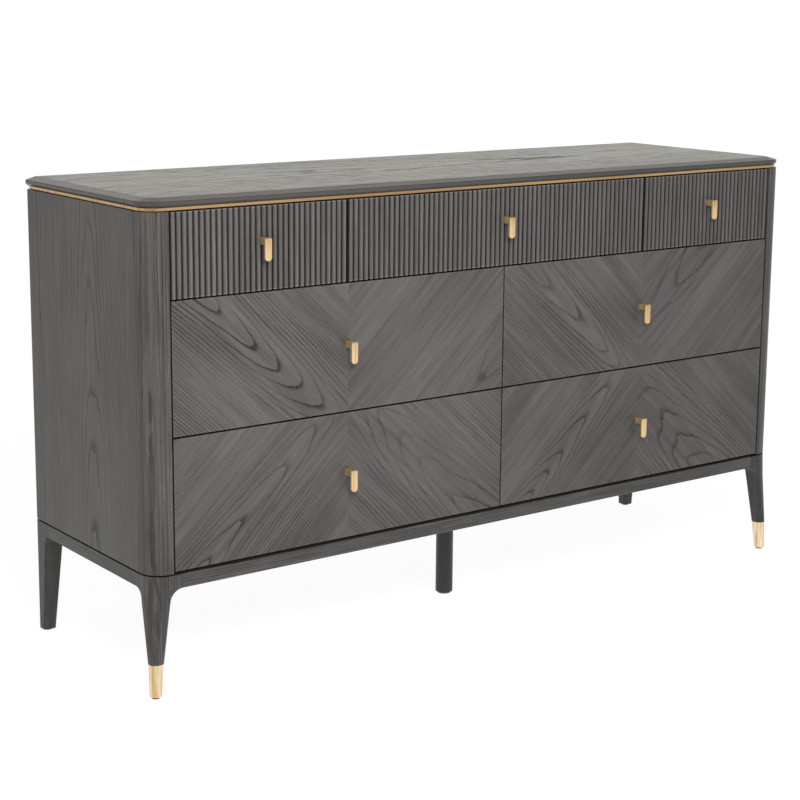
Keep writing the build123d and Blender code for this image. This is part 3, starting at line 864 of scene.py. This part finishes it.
@dataclass
class TopAssembly:
    """Slab, brass inlay and spacer.

    Args:
        slab: node of the slab.
        inlay: node of the brass strip.
        spacer: node of the board between slab and case.
        sanded_rim: how far below its top face the slab's rim is sanded smooth, in metres.
    """

    slab: str = "top_panel"
    inlay: str = "brass_inlay"
    spacer: str = "top_spacer"
    sanded_rim: float = 0.3 * MM

    def dress(self) -> None:
        """Gives the slab its lengthwise grain, and the strip and spacer their finishes."""
        face_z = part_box(self.slab)[1].z
        cut = sawn(self.slab, Grain.ALONG, heart=(-0.2, 0.03, 0.0), seed=1.0, pith_depth=0.12, lean=0.02,
                   sanded_below=face_z - self.sanded_rim)
        dress(self.slab, SLAB_OAK.material("stained_oak_slab", cut))
        # The strip's darker gold is painted shade and darker reflection.
        dress(self.inlay, STRIP_BRASS.material("satin_brass_strip", Grain.ALONG))
        # The spacer's black is painted shade in the reveal under the strip.
        dress(self.spacer, SHADE_BLACK_FIBREBOARD.material("painted_shade_black_spacer"))


@dataclass
class CaseAssembly:
    """Posts, panels, inner boards, fixed runners and the back panel's screws.

    Args:
        sides: names of the two sides.
        side_seeds: the logs of the two side panels.
        inner_boards: boards out of sight behind the fronts.
        back: node of the back panel.
        screw_radius: radius of a back panel screw's head, in metres.
        screw_crown: radius of the head's flat crown, for each of the head's.
        screw_rise: how far a head stands out of the panel.
        screw_round: round of the crown's rim.
        screw_round_steps: steps in that round.
        screw_sides: sides of a head.
        screw_inset: screws from the panel's edge.
        screw_columns: screws along each long edge.
        screw_rows: screws along each short edge, between the corners.
    """

    sides: tuple[str, ...] = ("left", "right")
    side_seeds: tuple[float, ...] = (3.0, 4.0)
    inner_boards: tuple[str, ...] = ("sub_top_panel", "dust_panel", "bottom_panel", "centre_partition",
                                     "upper_partitions", "runner_packers")
    back: str = "back_panel"
    screw_radius: float = 4.0 * MM
    screw_crown: float = 0.55
    screw_rise: float = 1.6 * MM
    screw_round: float = 0.5 * MM
    screw_round_steps: int = 3
    screw_sides: int = 20
    screw_inset: float = 10.0 * MM
    screw_columns: int = 8
    screw_rows: int = 2

    def dress(self) -> None:
        """Gives the outside upright grain and the inside a dull dark stain."""
        for side, seed in zip(self.sides, self.side_seeds):
            self._dress_side(side, seed)
        inner_cut = Cut(Grain.ALONG, centre=(0.0, 0.0, 0.4), seed=2.0, pith_depth=0.3)
        inner = CARCASE.material("stained_plywood_inside", inner_cut)
        for node in self.inner_boards:
            dress(node, inner)
        # Black on the front rails is painted shade in the gaps between the fronts.
        dress("middle_front_rails", SHADE_BLACK_FIBREBOARD.material("painted_shade_black_front_rails"))
        cut = sawn(self.back, Grain.ALONG, heart=(0.1, 0.0, -0.05), seed=33.0, face=Face.FRONT,
                   pith_depth=0.15, lean=0.03)
        dress(self.back, BACK_PLY.material("stained_plywood_back", cut))
        dress("cabinet_runners", ZINC.material("zinc_plated_steel_fixed_runners"))

    def _dress_side(self, side: str, seed: float) -> None:
        """Dresses one side panel and its two posts.

        Args:
            side: left or right.
            seed: the panel's log.
        """
        panel = f"{side}_side_panel"
        cut = sawn(panel, Grain.UPRIGHT, heart=(0.0, -0.02, -0.1), seed=seed, pith_depth=0.08, lean=0.04)
        dress(panel, OAK.material(f"stained_oak_{side}_panel", cut))
        for place in ("front", "rear"):
            post = f"{place}_{side}_post"
            core = middle(post)
            cut = sawn(post, Grain.UPRIGHT, heart=(0.0, 0.4, 0.0), seed=core.x + core.y, pith_depth=0.4,
                       lean=0.0)
            dress(post, STRAIGHT_OAK.material(f"stained_oak_{place}_{side}_post", cut))

    def build_screws(self) -> Piece:
        """Models the screws round the back panel.

        Returns:
            The screws as one piece.
        """
        low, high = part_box(self.back)
        left, right = low.x + self.screw_inset, high.x - self.screw_inset
        bottom, top = low.z + self.screw_inset, high.z - self.screw_inset
        spots = []
        for i in range(self.screw_columns):
            x = left + (right - left) * i / (self.screw_columns - 1)
            spots += [(x, bottom), (x, top)]
        for i in range(1, self.screw_rows + 1):
            z = bottom + (top - bottom) * i / (self.screw_rows + 1)
            spots += [(left, z), (right, z)]
        shape = bmesh.new()
        for x, z in spots:
            self._add_screw(shape, Vector((x, high.y, z)))
        zinc = ZINC.material("zinc_plated_screws")
        return settle(shape, "back_panel_screws", zinc, CASE_BODY)

    def _add_screw(self, shape: Shape, seat: Vector) -> None:
        """Adds one screw's domed head.

        Args:
            shape: the bmesh to add to.
            seat: middle of the head on the panel.
        """
        turn = Matrix.Rotation(math.radians(-90), 4, "X")
        place = Matrix.Translation(seat + Vector((0, self.screw_rise / 2, 0))) @ turn
        made = bmesh.ops.create_cone(shape, cap_ends=True, segments=self.screw_sides,
                                     radius1=self.screw_radius, radius2=self.screw_radius * self.screw_crown,
                                     depth=self.screw_rise, matrix=place)
        rim = behind(edges_of(made), seat.y + self.screw_rise)
        soften(shape, rim, self.screw_round, self.screw_round_steps)


@dataclass
class BaseAssembly:
    """Rails, legs, ferrules, glides and the support leg.

    Args:
        sides: names of the two sides.
        ends: names of the front and the rear.
        lit_leg: node of the leg that faces the lamp; the other legs get a darker copy of the oak, painted
            shade.
        end_seed: log of the front and rear rail, to which their place is added.
        side_seed: log of the side rails, likewise.
        leg_seed: log of the legs, likewise.
    """

    sides: tuple[str, ...] = ("left", "right")
    ends: tuple[str, ...] = ("front", "rear")
    lit_leg: str = "front_left_leg"
    end_seed: float = 7.0
    side_seed: float = 9.0
    leg_seed: float = 14.0

    def dress(self) -> None:
        """Runs the grain along each rail and down each leg."""
        for end in self.ends:
            rail = f"base_{end}_rail"
            cut = sawn(rail, Grain.ALONG, heart=(0.0, 0.3, 0.0), seed=self.end_seed + middle(rail).y,
                       pith_depth=0.3, lean=0.01)
            dress(rail, STRAIGHT_OAK.material(f"stained_oak_{end}_rail", cut))
        for side in self.sides:
            rail = f"base_{side}_rail"
            cut = sawn(rail, Grain.DEPTH, heart=(0.3, 0.0, 0.0), seed=self.side_seed + middle(rail).x,
                       pith_depth=0.3, lean=0.01)
            dress(rail, STRAIGHT_OAK.material(f"stained_oak_{side}_rail", cut))
            for end in self.ends:
                self._dress_leg(f"{end}_{side}_leg")
        cross_cut = Cut(Grain.DEPTH, centre=(0.0, 0.0, 0.1), seed=12.0)
        dress("base_cross_rail", CARCASE.material("stained_cross_rail", cross_cut))
        # The base spacer's black is painted shade in the line between base and case.
        dress("base_spacer", SHADE_BLACK_FIBREBOARD.material("painted_shade_black_base_spacer"))
        # The ferrules' brighter colour and bands are painted reflection.
        dress("front_ferrules", FERRULE_BRASS.material("satin_brass_ferrules", Grain.UPRIGHT))
        dress("leg_glides", MOULDED.material("moulded_nylon_glides"))
        dress("centre_support_leg", BLACK_PAINT.material("black_painted_support"))

    def _dress_leg(self, leg: str) -> None:
        """Dresses one leg.

        Args:
            leg: the leg's node.
        """
        core = middle(leg)
        cut = sawn(leg, Grain.UPRIGHT, heart=(0.0, 0.3, 0.0), seed=self.leg_seed + core.x + core.y,
                   pith_depth=0.3, lean=0.02)
        # Legs other than the lit one get painted shade: a darker copy of the leg oak.
        oak = LEG_OAK if leg == self.lit_leg else PAINTED_SHADE_LEG_OAK
        dress(leg, oak.material(f"stained_oak_{leg}", cut))


@dataclass
class TabPull:
    """A brass pull: square stem, hanging tab with a round lower end, and its screw's head.

    Args:
        drawer: the drawer's name.
        tab_width: width of the tab, in metres.
        tab_thickness: thickness of the tab.
        end_radius: round of the tab's lower corners.
        end_steps: steps in that round.
        top_radius: round of the tab's upper corners.
        top_steps: steps in that round.
        edge_round: softening of the tab's other edges.
        edge_steps: steps in that softening.
        stem_width: side of the square stem.
        stem_round: softening of the stem's edges.
        stem_steps: steps in that softening.
        stem_overlap: how far the stem reaches into the tab.
        seat_depth: how far the stem goes into a reeded front.
        head_thickness: thickness of the screw's head.
        head_radius: radius of the screw's head.
        head_sides: sides of the screw's head.
        head_round: round of its rim.
        head_steps: steps in that round.
    """

    drawer: str
    tab_width: float = 13.5 * MM
    tab_thickness: float = 5.0 * MM
    end_radius: float = 6.4 * MM
    end_steps: int = 8
    top_radius: float = 2.4 * MM
    top_steps: int = 4
    edge_round: float = 1.1 * MM
    edge_steps: int = 3
    stem_width: float = 12.5 * MM
    stem_round: float = 1.2 * MM
    stem_steps: int = 3
    stem_overlap: float = 0.2 * MM
    seat_depth: float = 4.4 * MM
    head_thickness: float = 2.4 * MM
    head_radius: float = 4.0 * MM
    head_sides: int = 24
    head_round: float = 0.7 * MM
    head_steps: int = 2

    def build(self, material: Material) -> Piece:
        """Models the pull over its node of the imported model.

        Args:
            material: the brass.

        Returns:
            The pull.
        """
        node = f"{self.drawer}_pull"
        low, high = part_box(node)
        shape = bmesh.new()
        self._add_tab(shape, low, high)
        self._add_stem(shape, low, high)
        self._add_screw_head(shape, low, high)
        piece = settle(shape, f"{self.drawer}_tab_pull", material, f"drawer_{self.drawer}")
        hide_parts(node)
        return piece

    def _add_tab(self, shape: Shape, low: Vector, high: Vector) -> None:
        """Adds the hanging tab.

        Args:
            shape: the bmesh to add to.
            low: lowest corner of the pull.
            high: highest corner of the pull.
        """
        x = (low.x + high.x) / 2
        half = self.tab_width / 2
        corner = Vector((x - half, low.y, low.z))
        corners = through(block(shape, corner, Vector((x + half, low.y + self.tab_thickness, high.z))))
        lower = [edge for edge in corners if edge.verts[0].co.z < low.z + MM]
        upper = [edge for edge in corners if edge not in lower]
        soften(shape, lower, self.end_radius, self.end_steps)
        soften(shape, upper, self.top_radius, self.top_steps)
        front = [edge for edge in shape.edges if all(vert.co.y < low.y + ON_FACE for vert in edge.verts)]
        soften(shape, front, self.edge_round, self.edge_steps)

    def _add_stem(self, shape: Shape, low: Vector, high: Vector) -> None:
        """Adds the square stem, from the tab to its seat on the front.

        Args:
            shape: the bmesh to add to.
            low: lowest corner of the pull.
            high: highest corner of the pull.
        """
        x = (low.x + high.x) / 2
        half = self.stem_width / 2
        face_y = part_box(f"{self.drawer}_front")[0].y
        seat_y = face_y + (self.seat_depth if self.drawer.startswith("top_") else 0.0)
        corner = Vector((x - half, low.y + self.tab_thickness - self.stem_overlap, high.z - self.stem_width))
        edges = through(block(shape, corner, Vector((x + half, seat_y, high.z))))
        soften(shape, edges, self.stem_round, self.stem_steps)

    def _add_screw_head(self, shape: Shape, low: Vector, high: Vector) -> None:
        """Adds the screw's head on the inside of the drawer.

        Args:
            shape: the bmesh to add to.
            low: lowest corner of the pull.
            high: highest corner of the pull.
        """
        seat = ((low.x + high.x) / 2, high.y - self.head_thickness / 2, high.z - self.stem_width / 2)
        place = Matrix.Translation(seat) @ Matrix.Rotation(math.radians(90), 4, "X")
        made = bmesh.ops.create_cone(shape, cap_ends=True, segments=self.head_sides, radius1=self.head_radius,
                                     radius2=self.head_radius, depth=self.head_thickness, matrix=place)
        soften(shape, behind(edges_of(made), high.y), self.head_round, self.head_steps)


@dataclass
class DrawerAssembly:
    """One drawer: front, box, runners and pull.

    Args:
        name: the drawer's name.
        seed: which log its front comes from.
        grain: direction of the veneer on the right-hand leaf, or None on a reeded front.
        leaf_slip: how far the front's two leaves are slipped apart, in metres.
        leaf_lines: strength of the growth lines on the left leaf and on the right.
        leaf_heart: the log's axis from the joint of the two leaves, in metres.
    """

    name: str
    seed: float
    grain: Grain | None = None
    leaf_slip: float = 0.0
    leaf_lines: Pair = (1.0, 1.0)
    leaf_heart: float = 0.17

    def dress(self, brass: Material, birch: Material, zinc: Material) -> None:
        """Dresses the drawer and builds its pull.

        Args:
            brass: the pull's finish.
            birch: the box's finish.
            zinc: the runners' finish.
        """
        front = f"{self.name}_front"
        if self.grain is None:
            cut = sawn(front, Grain.UPRIGHT, heart=(0.0, 0.3, 0.0), seed=self.seed, pith_depth=0.2, lean=0.0,
                       front=front)
            dress(front, REED_OAK.material(f"stained_oak_reeds_{self.name}", cut))
        else:
            core = middle(front)
            cut = Cut(self.grain, (self.leaf_heart, core.y, core.z - self.leaf_slip), self.seed, Face.FRONT,
                      pith_depth=0.09, lean=-0.07, fold_x=core.x, leaf_slip=self.leaf_slip,
                      leaf_lines=self.leaf_lines, front=front)
            dress(front, VENEER_OAK.material(f"stained_oak_veneer_{self.name}", cut))
        dress(f"{self.name}_box", birch)
        dress(f"{self.name}_runners", zinc)
        TabPull(self.name).build(brass)


@dataclass
class PhotoCamera:
    """The photograph's standpoint.

    Args:
        station: the lens's place, in metres.
        yaw: turn to the right of straight at the front, in degrees.
        pitch: tilt below level, in degrees.
        roll: turn about the line of sight, in degrees.
        focal_px: focal length in pixels of the square image.
        principal_px: pixel on the line of sight.
    """

    station: Triple = (-2.1426, -2.7790, 1.1742)
    yaw: float = 36.649
    pitch: float = 10.813
    roll: float = -0.490
    focal_px: float = 1819.67
    principal_px: Pair = (404.1, 340.4)

    def place(self) -> bpy.types.Object:
        """Makes the camera and sets it as the scene's.

        Returns:
            The camera object.
        """
        data = bpy.data.cameras.new("photo_camera")
        data.sensor_width = SENSOR_MM
        data.lens = self.focal_px * SENSOR_MM / IMAGE_PX
        data.shift_x = (IMAGE_PX / 2 - self.principal_px[0]) / IMAGE_PX
        data.shift_y = (self.principal_px[1] - IMAGE_PX / 2) / IMAGE_PX
        camera = bpy.data.objects.new("photo_camera", data)
        turn = Matrix.Rotation(math.radians(-self.yaw), 4, "Z")
        turn = turn @ Matrix.Rotation(math.radians(90 - self.pitch), 4, "X")
        turn = turn @ Matrix.Rotation(math.radians(-self.roll), 4, "Z")
        camera.matrix_world = Matrix.Translation(self.station) @ turn
        bpy.context.scene.collection.objects.link(camera)
        bpy.context.scene.camera = camera
        return camera


@dataclass
class SoftBox:
    """One soft lamp, which neither the camera nor a reflection shows.

    Args:
        name: the lamp's name.
        place: its middle, in metres.
        size: width and height, in metres.
        power: watts.
    """

    name: str
    place: Triple
    size: Pair
    power: float

    def hang(self, target: Vector) -> None:
        """Hangs the lamp and aims it.

        Args:
            target: the point that it faces.
        """
        data = bpy.data.lights.new(self.name, "AREA")
        data.shape = "RECTANGLE"
        data.size, data.size_y = self.size
        data.energy = self.power
        lamp = bpy.data.objects.new(self.name, data)
        lamp.visible_camera = False
        lamp.visible_glossy = False
        lamp.location = self.place
        lamp.rotation_euler = (target - Vector(self.place)).to_track_quat("-Z", "Y").to_euler()
        bpy.context.scene.collection.objects.link(lamp)


@dataclass
class Studio:
    """White floor lit from below, grey surroundings from pale to dim, and soft lamps.

    Args:
        floor_half: half the floor's side, in metres.
        floor_cells: faces along each side of the floor.
        dim_side: direction in which the surroundings are dimmest.
        greys: the surroundings, from the side away from that to the dim side.
        lamps: the soft lamps.
        aim: the point that the lamps face, in metres.
    """

    floor_half: float = 1500.0
    floor_cells: int = 2
    dim_side: Triple = (-0.60, -0.80, 0.0)
    greys: Stops = ((0.0, "#FBF8F1"), (0.28, "#A4A4A4"), (0.52, "#666666"), (0.70, "#C4C4C4"),
                    (0.95, "#6C6C6C"))
    lamps: list[SoftBox] = field(default_factory=lambda: [
        SoftBox("key_front", (-1.0, -1.95, 1.65), (1.1, 0.9), 74.0),
    ])
    aim: Triple = (0.0, 0.0, 0.45)

    def build(self) -> None:
        """Lays the floor, lights the surroundings and hangs the lamps."""
        shape = bmesh.new()
        bmesh.ops.create_grid(shape, x_segments=self.floor_cells, y_segments=self.floor_cells,
                              size=self.floor_half)
        mesh = bpy.data.meshes.new("studio_floor")
        shape.to_mesh(mesh)
        shape.free()
        mesh.materials.append(ACRYLIC.material("backlit_white_acrylic_floor"))
        floor = bpy.data.objects.new("studio_floor", mesh)
        bpy.context.scene.collection.objects.link(floor)
        self._light_surroundings()
        for lamp in self.lamps:
            lamp.hang(Vector(self.aim))
        bpy.context.scene.view_settings.view_transform = "Standard"

    def _light_surroundings(self) -> None:
        """Lights the surroundings, dimmer towards one side."""
        world = bpy.data.worlds.new("pale_studio")
        world.use_nodes = True
        tree = world.node_tree
        ray = add(tree, Kind.COORDINATES).outputs["Generated"]
        facing = add(tree, Kind.VECTOR_MATH, ray, self.dim_side, operation="DOT_PRODUCT").outputs["Value"]
        # From away, at minus one, to the dim side, at one, the greys run from zero to one.
        turn = add(tree, Kind.MATH, facing, 0.5, 0.5, operation="MULTIPLY_ADD")
        grey = add(tree, Kind.RAMP, turn, stops=self.greys)
        tree.links.new(grey.outputs[0], tree.nodes["Background"].inputs["Color"])
        bpy.context.scene.world = world


DRAWERS = [
    DrawerAssembly("top_left", 21.0),
    DrawerAssembly("top_centre", 22.0),
    DrawerAssembly("top_right", 23.0),
    DrawerAssembly("middle_left", 24.0, Grain.RISING, leaf_slip=0.11, leaf_lines=(0.95, 0.45)),
    DrawerAssembly("middle_right", 25.0, Grain.RISING, leaf_slip=-0.06, leaf_lines=(0.9, 0.5)),
    DrawerAssembly("bottom_left", 26.0, Grain.FALLING, leaf_slip=0.0, leaf_lines=(0.7, 0.8)),
    DrawerAssembly("bottom_right", 27.0, Grain.FALLING, leaf_slip=0.05, leaf_lines=(0.7, 0.9)),
]


def main() -> None:
    """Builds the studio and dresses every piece."""
    logging.basicConfig(level=logging.INFO, format="%(message)s")
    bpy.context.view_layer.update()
    PhotoCamera().place()
    Studio().build()
    TopAssembly().dress()
    case = CaseAssembly()
    case.dress()
    case.build_screws()
    BaseAssembly().dress()
    brass = BRASS.material("satin_brass_pulls", Grain.UPRIGHT)
    box_cut = Cut(Grain.ALONG, centre=(0.0, 0.0, 0.2), seed=31.0, pith_depth=0.4)
    birch = BIRCH.material("birch_plywood_boxes", box_cut)
    zinc = ZINC.material("zinc_plated_steel_drawer_runners")
    for drawer in DRAWERS:
        drawer.dress(brass, birch, zinc)


if __name__ == "__main__":
    main()
